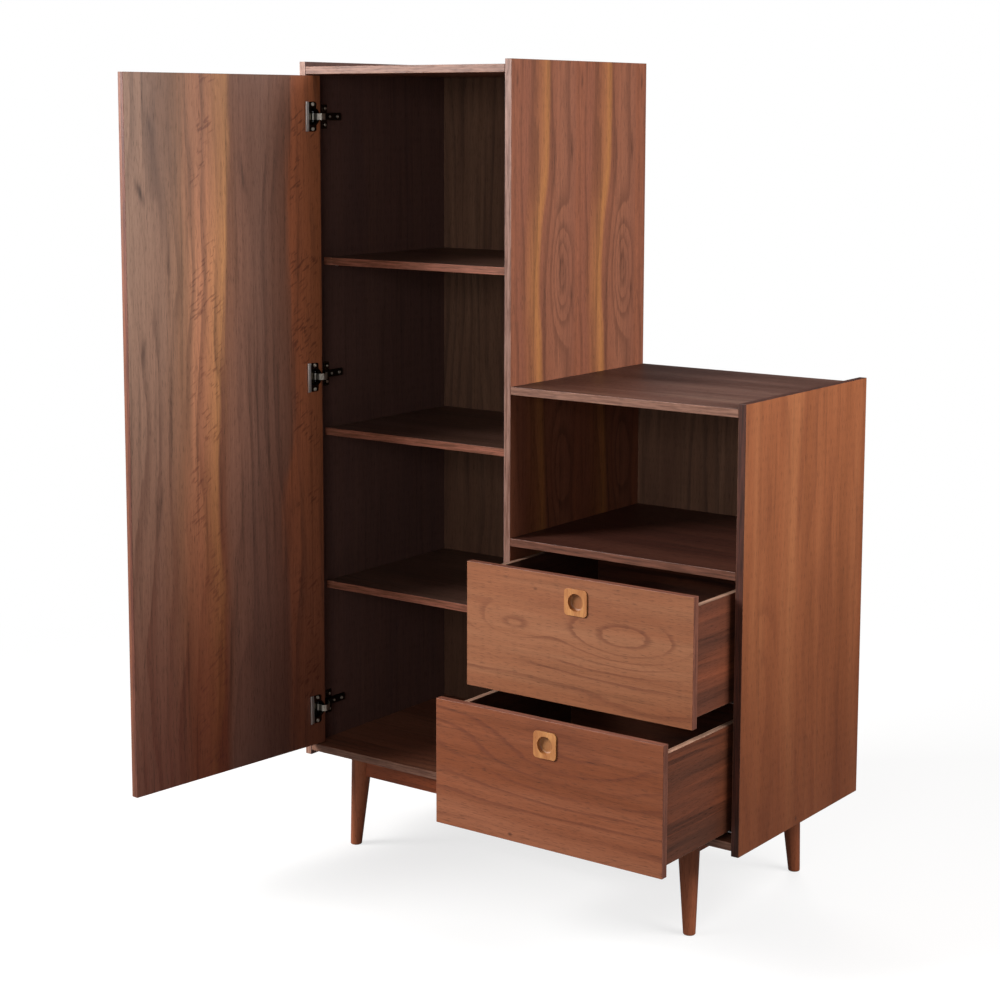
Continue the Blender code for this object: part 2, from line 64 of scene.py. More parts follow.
def lamp(name, place, aim, size, watts, spread=180):
    """A square area light that looks from its place at its aim."""
    light = bpy.data.lights.new(name, "AREA")
    light.energy = watts
    light.size = size
    light.spread = math.radians(spread)
    made = bpy.data.objects.new(name, light)
    made.location = place
    made.rotation_euler = (Vector(place) - Vector(aim)).to_track_quat("Z", "Y").to_euler()
    made.visible_camera = False
    scene.collection.objects.link(made)
    return made


lamp("front_left", (-2.05, -2.2, 2.3), (0, 0, 1.1), 1.7, 112, 140)
lamp("right", (2.3, 0.5, 2.0), (-0.2, 0, 1.1), 1.5, 38, 130)
lamp("fill", (1.5, -3.9, 1.7), (0, 0, 0.9), 1.2, 32)
behind = lamp("behind", (-1.2, 3.3, 2.3), (0, 0, 0.8), 1.8, 60)
behind.visible_glossy = False


def add(tree, kind, *values, out=0, named=None, **settings):
    """Adds a shader node with its settings. Its inputs, in order or by name or number, are values or the sockets that
    feed them, and one of its outputs comes back."""
    made = tree.nodes.new("ShaderNode" + kind)
    for key, value in settings.items():
        setattr(made, key, value)
    for key, value in (*enumerate(values), *(named or {}).items()):
        if isinstance(value, bpy.types.NodeSocket):
            tree.links.new(value, made.inputs[key])
        else:
            made.inputs[key].default_value = value
    return made.outputs[out] if made.outputs else made


def linear(code):
    """A linear colour from an sRGB hex code."""
    parts = [int(code[k : k + 2], 16) / 255 for k in (1, 3, 5)]
    return (*((p / 12.92 if p <= 0.04045 else ((p + 0.055) / 1.055) ** 2.4) for p in parts), 1)


WHITE = (1, 1, 1, 1)
SKY_LIGHT = 0.10  # what the white surroundings shed on the cabinet, though they look fully white
FLOOR_RADIUS = 22
FLOOR_DROP = 0.0005
FADE = (0.9, 2.6)  # how far out the floor starts and ends its fade to white

world = bpy.data.worlds.new("studio")
world.use_nodes = True
scene.world = world
sky = world.node_tree
sky.nodes.clear()
seen = add(sky, "LightPath", out="Is Camera Ray")
strength = add(sky, "MapRange", seen, 0.0, 1.0, SKY_LIGHT, 1.0)
add(sky, "OutputWorld", add(sky, "Background", WHITE, strength))

bpy.ops.mesh.primitive_circle_add(vertices=96, radius=FLOOR_RADIUS, fill_type="NGON", location=(0, 0, -FLOOR_DROP))
floor = bpy.context.object
floor.name = floor.data.name = "floor"
floor.select_set(False)

# Matt white paper: no sheen at all, a little grey so that shadows show on it, and lit from within far out, where it
# has to run into the white without a line.
paper = bpy.data.materials.new("matt_white_paper")
paper.use_nodes = True
tree = paper.node_tree
tree.nodes.clear()
seen = add(tree, "LightPath", out="Is Camera Ray")
away = add(tree, "VectorMath", add(tree, "TexCoord", out="Object"), out="Value", operation="LENGTH")
fade = add(tree, "MapRange", away, *FADE, interpolation_type="SMOOTHSTEP")
grey = add(tree, "Mix", named={0: seen, 6: linear("#8c8a88"), 7: linear("#989796")}, out=2, data_type="RGBA")
lift = add(tree, "Emission", WHITE, add(tree, "MapRange", seen, 0.0, 1.0, 0.0, 0.72))
near = add(tree, "AddShader", add(tree, "BsdfDiffuse", grey), lift)
far = add(tree, "Emission", WHITE, add(tree, "MapRange", seen, 0.0, 1.0, 0.12, 1.0))
add(tree, "OutputMaterial", add(tree, "MixShader", fade, near, far))
floor.data.materials.append(paper)


# Carcass sides: three upright 15 mm boards, walnut veneer on both faces with strips of solid walnut on their
# edges. The middle one is slip-matched, one leaf of veneer repeating every 212 mm across it, with an orange
# stripe, an eye and a few dark marks in each. The sides are glued and dowelled to the boards between them.

MM = 0.001


def noise(tree, vector, size, seed=0.0, detail=2.0, roughness=0.5):
    """Noise about 0.5. The size is that of one patch, in millimetres: two lengths on a flat pattern, else three."""
    scale = [1 / (length * MM) for length in (*size, 1000)[:3]]
    grown = add(tree, "VectorMath", vector, scale, operation="MULTIPLY")
    moved = add(tree, "VectorMath", grown, (seed, 0.37 * seed, 1.7 * seed), operation="ADD")
    return add(tree, "TexNoise", named={"Vector": moved, "Scale": 1.0, "Detail": detail, "Roughness": roughness})


def rise(tree, a, g, centre, size, height, lean=0.0):
    """One smooth rise, for an eye or a pointed arch in the figure, or for a dark mark."""
    u = add(tree, "Math", a, centre[0], operation="SUBTRACT")
    v = add(tree, "Math", g, centre[1], operation="SUBTRACT")
    if lean:
        u = add(tree, "Math", v, lean, u, operation="MULTIPLY_ADD")
    u = add(tree, "Math", u, 1 / size[0], operation="MULTIPLY")
    v = add(tree, "Math", v, 1 / size[1], operation="MULTIPLY")
    square = add(tree, "Math", u, u, add(tree, "Math", v, v, operation="MULTIPLY"), operation="MULTIPLY_ADD")
    falling = add(tree, "Math", add(tree, "Math", square, -1.0, operation="MULTIPLY"), operation="EXPONENT")
    return add(tree, "Math", falling, height, operation="MULTIPLY")


def border(tree, g, points):
    """How far across the board a colour band ends, for each place along the grain; all in metres."""
    made = add(tree, "FloatCurve", named={"Value": add(tree, "Math", g, 0.5, operation="MULTIPLY")})
    curve = made.node.mapping.curves[0]
    points = sorted(points)
    for spot, (x, y) in zip((curve.points[0], curve.points[1]), (points[0], points[-1])):
        spot.location = (x * 0.5, y + 0.5)
    for x, y in points[1:-1]:
        curve.points.new(x * 0.5, y + 0.5)
    made.node.mapping.update()
    return add(tree, "Math", made, 0.5, operation="SUBTRACT")


def beyond(tree, value, low, high, margin=0.45 * MM):
    """One at the two edge faces that close a board along this direction, none between them."""
    under = add(tree, "Math", value, low + margin, operation="LESS_THAN")
    over = add(tree, "Math", value, high - margin, operation="GREATER_THAN")
    return add(tree, "Math", under, over, operation="MAXIMUM")


# Walnut veneer is sliced wood under a matt lacquer: a soft, wide sheen, broad bands of colour, ring lines that
# close into eyes, dark streaks, and open pores that catch the light as short dents. Real fibres and pores are
# 0.1 to 0.3 mm wide, too fine to show, so they are drawn 1.4 and 0.8 mm wide.
FIBRES = (1.389, 58.82, 1.389)
PORES = (0.7692, 18.18, 0.7692)
STREAKS = (5.263, 250, 5.263)
VEINS = (10.53, 454.5, 10.53)
EDGE_STRIPES = (16.67, 83.33, 3.846)


def veneer(
    name,
    node,
    grain,
    across,
    tones,
    line,
    seed,
    rings=70.0,
    slope=0.6,
    relief=0.06,
    wander=0.02,
    figure=0.5,
    streak=0.35,
    bands=None,
    period=None,
    eyes=(),
    marks=(),
    flecks=(),
    knots=0.0,
    edge=("#a07968", "#7d5748"),
    turn=None,
    face_tone_and_shade=None,
    falls=(),
    roughness=0.44,
    crisp=0.40,
):
    """The walnut of one board. Lengths are metres along its grain and across it. Rings are level lines of a height
    that climbs across the board by its slope and swells by its relief; wander is how far the grain strays."""
    low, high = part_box(node)
    made = bpy.data.materials.new(name)
    made.use_nodes = True
    tree = made.node_tree
    shader = tree.nodes["Principled BSDF"]
    place = add(tree, "TexCoord", out="Object")
    if turn:
        centre, angle = turn
        moved = Matrix.Rotation(angle, 4, "Z")
        shift = Vector(centre) - moved @ Vector(centre)
        place = add(tree, "Mapping", place, shift, (0, 0, angle))
        corners = [Matrix.Translation(shift) @ moved @ v.co for v in nodes[node].data.vertices]
        low = Vector([min(c[k] for c in corners) for k in range(3)])
        high = Vector([max(c[k] for c in corners) for k in range(3)])
    low, high = dict(zip("XYZ", low)), dict(zip("XYZ", high))
    axes = add(tree, "SeparateXYZ", place).node.outputs
    depth = ({"X", "Y", "Z"} - {grain, across}).pop()
    a, g, d = axes[across], axes[grain], axes[depth]
    if period:
        a = add(tree, "Math", a, period, 0.0, operation="WRAP")
    flat = add(tree, "CombineXYZ", a, g, 0.0)
    solid = add(tree, "CombineXYZ", a, g, d)
    wave = add(tree, "Math", noise(tree, flat, (166.7, 454.5), seed, 2), 0.5, operation="SUBTRACT")
    bent = add(tree, "Math", wave, wander, a, operation="MULTIPLY_ADD")
    flow = add(tree, "CombineXYZ", bent, g, 0.0)
    thick = add(tree, "CombineXYZ", bent, g, d)

    # The ground colour: bands with drawn borders where a board has them, else slow drifts between three tones.
    if bands:
        borders, colours = bands
        edges = [low[across], *(border(tree, g, points) for points in borders), period or high[across]]
        total = 0.0
        for start, end in zip(edges, edges[1:]):
            total = add(tree, "Math", add(tree, "MapRange", bent, start, end), total, operation="ADD")
        band = add(tree, "Math", total, 1 / (len(edges) - 1), operation="MULTIPLY")
        soft = add(tree, "Math", noise(tree, flow, (22.22, 333.3), seed + 2, 3, 0.6), 0.5, operation="SUBTRACT")
        ground = add(tree, "Math", soft, 0.07, band, operation="MULTIPLY_ADD")
        colours = [(position / (len(edges) - 1), tone) for position, tone in colours]
    else:
        ground = noise(tree, flow, (66.67, 1111), seed + 3, 3, 0.6)
        colours = list(zip((0.32, 0.5, 0.68), tones))
    colour = add(tree, "ValToRGB", ground)
    stops = colour.node.color_ramp.elements
    stops[0].position, stops[0].color = colours[0][0], linear(colours[0][1])
    stops[1].position, stops[1].color = colours[-1][0], linear(colours[-1][1])
    for position, tone in colours[1:-1]:
        stops.new(position).color = linear(tone)

    # The rings, each dark at its outer side, stronger in some places than in others.
    swell = noise(tree, flow, (111.1, 666.7), seed + 7, 1.5)
    climb = add(tree, "Math", bent, slope, operation="MULTIPLY")
    height = add(tree, "Math", swell, relief, climb, operation="MULTIPLY_ADD")
    for centre, size, top in eyes:
        height = add(tree, "Math", height, rise(tree, bent, g, centre, size, top), operation="ADD")
    count = add(tree, "Math", height, rings, operation="MULTIPLY")
    jitter = add(tree, "Math", noise(tree, flow, (8.333, 111.1), seed + 9, 2), 0.35, count, operation="MULTIPLY_ADD")
    ring = add(tree, "Math", jitter, operation="FRACT")
    darkening = add(tree, "MapRange", ring, crisp, 0.90, interpolation_type="SMOOTHSTEP")
    ending = add(tree, "MapRange", ring, 0.92, 1.0, 1.0, 0.0, interpolation_type="SMOOTHSTEP")
    late = add(tree, "Math", darkening, ending, operation="MULTIPLY")
    patches = noise(tree, flow, (71.43, 416.7), seed + 11, 2)
    strength = add(tree, "MapRange", patches, 0.38, 0.62, 0.12, 1.0, interpolation_type="SMOOTHSTEP")
    amount = add(tree, "Math", late, strength, operation="MULTIPLY")
    amount = add(tree, "Math", amount, figure, operation="MULTIPLY")
    colour = add(tree, "Mix", named={0: amount, 6: colour, 7: linear(line)}, out=2, data_type="RGBA")

    # Tones that deepen along the board, each full at one place and gone at another. Those that darken a board towards
    # the bottom, and the low top towards its left end, are painted shade.
    for axis, full, none, tone, share, *window in falls:
        amount = add(tree, "MapRange", axes[axis], full, none, share, 0.0, interpolation_type="SMOOTHSTEP")
        if window:
            first, last = window
            blur = 15 * MM
            inside = add(tree, "MapRange", bent, first - blur, first + blur, interpolation_type="SMOOTHSTEP")
            until = add(tree, "MapRange", bent, last - blur, last + blur, 1.0, 0.0, interpolation_type="SMOOTHSTEP")
            inside = add(tree, "Math", inside, until, operation="MULTIPLY")
            amount = add(tree, "Math", amount, inside, operation="MULTIPLY")
        colour = add(tree, "Mix", named={0: amount, 6: colour, 7: linear(tone)}, out=2, data_type="RGBA")

    # Dark marks with ragged sides, where a knot or a bark pocket lies under the leaf.
    dark = 0.0
    for centre, size, strong, lean in marks:
        dark = add(tree, "Math", rise(tree, bent, g, centre, size, strong, lean), dark, operation="MAXIMUM")
    if marks:
        torn = noise(tree, flow, (5.263, 38.46), seed + 12, 3)
        ragged = add(tree, "MapRange", torn, 0.32, 0.6, 0.25, 1.0, interpolation_type="SMOOTHSTEP")
        amount = add(tree, "Math", dark, ragged, operation="MULTIPLY")
        colour = add(tree, "Mix", named={0: amount, 6: colour, 7: linear(line)}, out=2, data_type="RGBA")

    # Flecks, the short slanted dashes of ripple in a band, in loose groups.
    for tone, first, last, strong in flecks:
        blur = 20 * MM
        slant = {"Vector": flat, "Angle": math.radians(36)}
        slanted = add(tree, "VectorRotate", named=slant, rotation_type="Z_AXIS")
        dashes = noise(tree, slanted, (20.83, 5.556), seed + 13, 1)
        groups = noise(tree, flat, (50, 90.91), seed + 17, 1)
        dashes = add(tree, "MapRange", dashes, 0.52, 0.68, interpolation_type="SMOOTHSTEP")
        groups = add(tree, "MapRange", groups, 0.50, 0.62, interpolation_type="SMOOTHSTEP")
        inside = add(tree, "MapRange", bent, first, first + blur, interpolation_type="SMOOTHSTEP")
        until = add(tree, "MapRange", bent, last - blur, last, 1.0, 0.0, interpolation_type="SMOOTHSTEP")
        amount = add(tree, "Math", dashes, groups, operation="MULTIPLY")
        inside = add(tree, "Math", inside, until, operation="MULTIPLY")
        inside = add(tree, "Math", inside, strong, operation="MULTIPLY")
        amount = add(tree, "Math", amount, inside, operation="MULTIPLY")
        colour = add(tree, "Mix", named={0: amount, 6: colour, 7: linear(tone)}, out=2, data_type="RGBA")

    # Pin knots, dark over some 3 mm and blurred away by 10, at about one to each 110 by 170 mm.
    if knots:
        cells = add(tree, "VectorMath", flat, (9, 6, 1), operation="MULTIPLY")
        spot = {"Vector": cells, "Scale": 1.0, "Randomness": 1.0}
        apart = add(tree, "TexVoronoi", named=spot, out="Distance")
        dot = add(tree, "MapRange", apart, 0.012, 0.045, 1.0, 0.0, interpolation_type="SMOOTHSTEP")
        amount = add(tree, "Math", dot, knots, operation="MULTIPLY")
        colour = add(tree, "Mix", named={0: amount, 6: colour, 7: linear("#3b2018")}, out=2, data_type="RGBA")

    # Streaks, veins, fibres and pores lighten and darken whatever colour lies under them.
    streaks = add(tree, "Math", noise(tree, thick, STREAKS, seed + 19, 4, 0.65), 0.5, operation="SUBTRACT")
    veins = noise(tree, thick, VEINS, seed + 21, 3, 0.6)
    veins = add(tree, "MapRange", veins, 0.54, 0.70, 0.0, -0.55 * streak, interpolation_type="SMOOTHSTEP")
    fibres = noise(tree, solid, FIBRES, seed + 23, 2)
    swing = add(tree, "Math", fibres, 0.5, operation="SUBTRACT")
    pores = noise(tree, solid, PORES, seed + 29, 1)
    pores = add(tree, "MapRange", pores, 0.58, 0.70, interpolation_type="SMOOTHSTEP")
    tint = add(tree, "Math", streaks, 1.4 * streak, 1.02, operation="MULTIPLY_ADD")
    tint = add(tree, "Math", tint, veins, operation="ADD")
    tint = add(tree, "Math", swing, 0.34, tint, operation="MULTIPLY_ADD")
    tint = add(tree, "Math", pores, -0.42, tint, operation="MULTIPLY_ADD")

    # The strips of solid walnut on the board's edges, striped along their own length. The right panel's dark strip
    # tones are painted shade.
    if edge:
        pale, deep = edge
        ends = beyond(tree, g, low[grain], high[grain])
        sides = beyond(tree, axes[across], low[across], high[across])
        strip = noise(tree, solid, EDGE_STRIPES, seed + 31, 4, 0.6)
        turned = noise(tree, add(tree, "CombineXYZ", g, a, d), EDGE_STRIPES, seed + 37, 4, 0.6)
        change = add(tree, "Math", turned, strip, operation="SUBTRACT")
        pick = add(tree, "Math", change, ends, strip, operation="MULTIPLY_ADD")
        pick = add(tree, "MapRange", pick, 0.34, 0.62, interpolation_type="SMOOTHSTEP")
        wood = add(tree, "Mix", named={0: pick, 6: linear(deep), 7: linear(pale)}, out=2, data_type="RGBA")
        rim = add(tree, "Math", ends, sides, operation="MAXIMUM")
        colour = add(tree, "Mix", named={0: rim, 6: colour, 7: wood}, out=2, data_type="RGBA")

    # A face of the board that takes another tone. On the side panels, the middle panel and the drawer sides it is the
    # face that looks into the cabinet or the drawer, darkened and greyed as painted shade; on the door it is the outer
    # face.
    if face_tone_and_shade:
        axis, limit, side, tone, share = face_tone_and_shade
        inside = add(tree, "Math", axes[axis], limit, operation="GREATER_THAN" if side > 0 else "LESS_THAN")
        amount = add(tree, "Math", inside, share, operation="MULTIPLY")
        colour = add(tree, "Mix", named={0: amount, 6: colour, 7: linear(tone)}, out=2, data_type="RGBA")

    shaded = add(tree, "VectorMath", colour, named={"Scale": tint}, operation="SCALE")
    tree.links.new(shaded, shader.inputs["Base Color"])
    sheen = add(tree, "Math", fibres, 0.10, roughness - 0.05, operation="MULTIPLY_ADD")
    rough = add(tree, "Math", pores, 0.18, sheen, operation="MULTIPLY_ADD")
    tree.links.new(rough, shader.inputs["Roughness"])
    shader.inputs["Specular IOR Level"].default_value = 0.3
    dents = add(tree, "Math", pores, -1.0, fibres, operation="MULTIPLY_ADD")
    bump = add(tree, "Bump", named={"Strength": 0.35, "Distance": 0.06 * MM, "Height": dents})
    tree.links.new(bump, shader.inputs["Normal"])
    return made


def dress(name, material):
    """Gives a board or a fitting from model.glb its finish, in place of the plain one it came with."""
    nodes[name].data.materials.clear()
    nodes[name].data.materials.append(material)


BROWN = ("#7a4936", "#89553f", "#966048")

dress(
    "middle_panel",
    veneer(
        "walnut_middle_panel",
        "middle_panel",
        "Z",
        "Y",
        BROWN,
        "#49281c",
        4.0,
        period=0.212,
        bands=(
            [
                [
                    *((0.0, 0.068), (1.05, 0.066), (1.13, 0.056), (1.263, 0.066)),
                    *((1.377, 0.090), (1.474, 0.096), (2.0, 0.098)),
                ],
                [
                    *((0.0, 0.106), (1.05, 0.104), (1.13, 0.096), (1.263, 0.104)),
                    *((1.377, 0.123), (1.474, 0.125), (2.0, 0.125)),
                ],
            ],
            [
                *((0.0, "#895139"), (0.55, "#824d38"), (0.85, "#895237"), (1.35, "#9b623c"), (1.7, "#a2693c")),
                *((1.93, "#99603b"), (2.05, "#814d37"), (2.5, "#8b563f"), (2.8, "#84513c"), (3.0, "#814d38")),
            ],
        ),
        eyes=[((0.168, 1.172), (0.030, 0.098), 0.060), ((0.165, 0.80), (0.03, 0.10), 0.03)],
        marks=[
            ((0.166, 1.19), (0.006, 0.035), 0.8, 0.14),
            ((0.200, 1.121), (0.0035, 0.03), 0.9, 0.1),
            ((0.020, 1.531), (0.004, 0.028), 0.8, 0.05),
            ((0.196, 1.412), (0.0045, 0.03), 0.8, 0.05),
            ((0.080, 1.54), (0.007, 0.05), 0.5, 0.0),
            ((0.150, 1.03), (0.004, 0.03), 0.6, 0.1),
        ],
        rings=66.0,
        slope=0.35,
        relief=0.045,
        wander=0.010,
        figure=0.42,
        streak=0.42,
        edge=("#957062", "#6e493b"),
        # Painted shade: the face that looks into the tall bay is darkened and greyed.
        face_tone_and_shade=("X", 0.0070, -1, "#544240", 0.8),
    ),
)
dress(
    "right_side_panel",
    veneer(
        "walnut_right_panel",
        "right_side_panel",
        "Z",
        "Y",
        ("#834a2b", "#905332", "#9c5f3b"),
        "#65341f",
        9.0,
        rings=42.0,
        slope=0.3,
        relief=0.085,
        figure=0.30,
        streak=0.26,
        knots=0.7,
        eyes=[
            ((0.24, 0.50), (0.055, 0.22), 0.05),
            ((0.39, 0.66), (0.05, 0.2), 0.04),
            ((0.06, 0.45), (0.05, 0.2), 0.035),
        ],
        # Painted shade: the front edge strips are dark, the panel darkens towards the bottom, and the face that looks
        # into the low cabinet is darkened.
        edge=("#532e24", "#361e17"),
        falls=[("Z", 0.15, 0.8, "#602508", 0.45)],
        face_tone_and_shade=("X", 0.5070, -1, "#6a4636", 0.8),
    ),
)
dress(
    "left_side_panel",
    veneer(
        "walnut_left_panel",
        "left_side_panel",
        "Z",
        "Y",
        ("#8a502f", "#985a36", "#a2653f"),
        "#6d3a25",
        15.0,
        rings=46.0,
        slope=0.4,
        relief=0.08,
        figure=0.34,
        knots=0.5,
        # Painted shade: the face that looks into the tall bay is darkened and greyed.
        face_tone_and_shade=("X", -0.4800, 1, "#544444", 0.8),
    ),
)


# Tops, bottoms, shelves and backs: the level boards between the sides and the two thin boards behind them, in
# walnut veneer with the grain along each board. Three shelves lie loose on pins; the rest is glued and dowelled.

SHELF = ("#563c31", "#65473a", "#715347")
SHELF_EDGE = ("#a46651", "#754834")
LEVEL_EDGE = ("#8d6553", "#694537")
FLOOR_EDGE = ("#724737", "#503022")
# Painted shade and painted reflection: the low top darkens towards its left end, where it meets the tall part and
# mirrors its dark wood.
LOW_TOP_SHADE = [("X", 0.02, 0.40, "#2c0f06", 0.8)]
# Painted shade: the backs darken towards the bottom.
BACK_SHADE = [("Z", 0.3, 1.0, "#54372a", 0.6)]

for name, tones, rim, number, shade in (
    ("tall_top", BROWN, LEVEL_EDGE, 21.0, ()),
    ("low_top", ("#4c2c20", "#66453a", "#7c5c4d"), LEVEL_EDGE, 22.0, LOW_TOP_SHADE),
    ("tall_bottom", BROWN, LEVEL_EDGE, 23.0, ()),
    ("low_bottom", BROWN, LEVEL_EDGE, 24.0, ()),
    ("cubby_floor", ("#40211a", "#4d2a20", "#593428"), FLOOR_EDGE, 25.0, ()),
    ("lower_shelf", SHELF, SHELF_EDGE, 26.0, ()),
    ("centre_shelf", SHELF, SHELF_EDGE, 27.0, ()),
    ("upper_shelf", SHELF, SHELF_EDGE, 28.0, ()),
):
    dress(name, veneer("walnut_" + name, name, "X", "Y", tones, "#2c1a14", number, figure=0.45, edge=rim, falls=shade))
for name, number in (("tall_back", 31.0), ("low_back", 32.0)):
    tones = ("#6b4c3c", "#7d5b47", "#8b6852")
    dress(name, veneer("walnut_" + name, name, "Z", "X", tones, "#40302a", number, edge=None, falls=BACK_SHADE))


# Leg base: four round, tapered and splayed legs with four rails between them, of solid wood stained to go with
# the walnut. The legs are turned, and the rails sawn and hollowed at their ends to meet them.

RAIL = ("#904829", "#a1522f", "#b15e38")
LEG = ("#84472d", "#945133", "#a35d3d")

# Stained solid wood has the veneer's grain and sheen, but one even colour and no strips on its edges.
for name, grain, across, tones, number in (
    ("front_rail", "X", "Z", RAIL, 51.0),
    ("back_rail", "X", "Z", RAIL, 52.0),
    ("left_rail", "Y", "Z", RAIL, 50.0),
    ("right_rail", "Y", "Z", RAIL, 54.0),
    ("front_left_leg", "Z", "X", LEG, 59.0),
    ("front_right_leg", "Z", "X", LEG, 56.0),
    ("back_left_leg", "Z", "X", LEG, 53.0),
    ("back_right_leg", "Z", "X", LEG, 57.0),
):
    finish = "stained_wood_" + name
    dress(name, veneer(finish, name, grain, across, tones, "#4e281b", number, edge=None, knots=0.5, figure=0.4))


# Door: one inset board, veneered with a wide leaf in four bands: orange at the hinges, dark, tan with flecks, and
# grey-brown at the free edge, a grey that is partly the veneer's own and partly painted sheen. It is drawn in the shut
# door's place and turned with it, about the hinge pins.

PIN = (-0.46548, 0.00716, 0.0)
OPEN = math.radians(96)
HINGE_EDGE = -0.47698


def from_hinge(*points):
    """A band's border from heights and distances out from the door's hinge edge."""
    return [(z, HINGE_EDGE + s) for z, s in points]


dress(
    "door_panel",
    veneer(
        "walnut_door",
        "door_panel",
        "Z",
        "X",
        BROWN,
        "#3f2820",
        51.0,
        rings=62.0,
        slope=0.45,
        relief=0.07,
        wander=0.016,
        figure=0.44,
        streak=0.46,
        bands=(
            [
                from_hinge(
                    *((0.0, 0.10), (0.59, 0.099), (0.714, 0.109), (0.831, 0.082)),
                    *((1.313, 0.091), (1.512, 0.079), (2.0, 0.08)),
                ),
                from_hinge(
                    *((0.0, 0.28), (0.194, 0.281), (0.347, 0.268), (0.542, 0.264), (0.68, 0.272)),
                    *((0.854, 0.265), (1.028, 0.258), (1.222, 0.244), (1.512, 0.236), (2.0, 0.236)),
                ),
                from_hinge(
                    *((0.0, 0.33), (0.206, 0.329), (0.362, 0.333), (0.557, 0.344), (0.693, 0.350)),
                    *((0.863, 0.335), (1.131, 0.336), (1.513, 0.343), (2.0, 0.343)),
                ),
            ],
            [
                # Tones from the hinge edge out; the grey-brown of the last band is partly painted sheen.
                *((0.0, "#9a5937"), (0.9, "#9d5939"), (1.04, "#774d3b"), (1.45, "#7d5747"), (1.8, "#8d604c")),
                *((1.96, "#895a42"), (2.05, "#c58857"), (2.6, "#bf7e5b"), (2.92, "#bb805e"), (3.1, "#9a6d51")),
                *((3.45, "#97715c"), (4.0, "#a27d68")),
            ],
        ),
        marks=[
            ((HINGE_EDGE + 0.421, 1.447), (0.006, 0.035), 0.75, -0.15),
            ((HINGE_EDGE + 0.445, 1.336), (0.007, 0.022), 0.85, -0.3),
            ((HINGE_EDGE + 0.447, 1.037), (0.006, 0.03), 0.6, 0.1),
            ((HINGE_EDGE + 0.199, 1.356), (0.008, 0.04), 0.6, -0.2),
            ((HINGE_EDGE + 0.385, 1.20), (0.004, 0.09), 0.6, 0.0),
            ((HINGE_EDGE + 0.410, 0.75), (0.005, 0.05), 0.6, 0.1),
        ],
        flecks=[
            ("#5d2a20", HINGE_EDGE + 0.245, HINGE_EDGE + 0.345, 0.5),
            ("#4c2015", HINGE_EDGE, HINGE_EDGE + 0.09, 0.6),
        ],
        # Painted shade: the first three darken the door towards the bottom; the last darkens its middle bands towards
        # the top.
        falls=[
            ("Z", 0.1, 1.3, "#5a2216", 0.80, HINGE_EDGE + 0.25, HINGE_EDGE + 0.52),
            ("Z", 0.1, 1.3, "#55322c", 0.62, HINGE_EDGE - 0.05, HINGE_EDGE + 0.25),
            ("Z", 0.1, 1.2, "#6a2c10", 0.40, HINGE_EDGE + 0.25, HINGE_EDGE + 0.35),
            ("Z", 1.5, 1.15, "#4a2c20", 0.35, HINGE_EDGE + 0.17, HINGE_EDGE + 0.42),
        ],
        turn=(PIN, OPEN),
        face_tone_and_shade=("Y", 0.0082, -1, "#8a5640", 0.5),
        edge=("#6e4234", "#56332a"),
    ),
)


# Drawers: two veneered boxes with thin dark bottoms slid into grooves, and inset fronts with the grain across
# them. The boxes are of darker, more striped boards, and their joints don't show.

for level, number, tones, box_tones, eyes in (
    (
        "upper",
        61.0,
        ("#875035", "#905a3d", "#996547"),
        ("#472a20", "#613727", "#7f452e"),
        [((0.57, 0.365), (0.05, 0.14), 0.07), ((0.565, 0.12), (0.03, 0.07), 0.035)],
    ),
    (
        "lower",
        68.0,
        ("#7c4328", "#874d32", "#91583d"),
        ("#43271b", "#5c3322", "#794028"),
        [((0.36, 0.30), (0.06, 0.2), 0.05)],
    ),
):
    finish = veneer(
        f"walnut_{level}_front",
        f"{level}_drawer_front",
        "X",
        "Z",
        tones,
        "#5e3022",
        number,
        rings=52.0,
        slope=0.5,
        relief=0.06,
        wander=0.02,
        figure=0.50,
        streak=0.28,
        knots=0.8,
        eyes=eyes,
        edge=("#7f4e3d", "#62392c"),
        crisp=0.66,
    )
    dress(f"{level}_drawer_front", finish)
    for part, axis, side in (("left_side", "Y", -1), ("right_side", "Y", 1), ("back", "X", 0)):
        name = f"{level}_drawer_{part}"
        low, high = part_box(name)
        # Painted shade: the face of each drawer side that looks into the drawer is darkened.
        face_tone_and_shade = None
        if side > 0:
            face_tone_and_shade = ("X", low.x + 0.6 * MM, -1, "#432a20", 0.8)
        elif side < 0:
            face_tone_and_shade = ("X", high.x - 0.6 * MM, 1, "#432a20", 0.8)
        finish = veneer(
            "walnut_" + name,
            name,
            axis,
            "Z",
            box_tones,
            "#2f1a13",
            number + len(part),
            rings=70.0,
            relief=0.07,
            figure=0.5,
            streak=0.6,
            edge=("#b08a74", "#8e6a57"),
            face_tone_and_shade=face_tone_and_shade,
        )
        dress(name, finish)
    name = f"{level}_drawer_bottom"
    tones = ("#2b1912", "#352018", "#40271d")
    dress(name, veneer("walnut_" + name, name, "X", "Y", tones, "#1a0f0b", number + 9, edge=None))


# Handle plates: three small squares of solid oak, each with a round dish to pull by, let into the door and the
# drawer fronts. The dish is routed and the whole plate oiled.

OAK_GRAIN = (16.67, 16.67, 71.43)
OAK_PORES = (1.111, 1.111, 11.11)


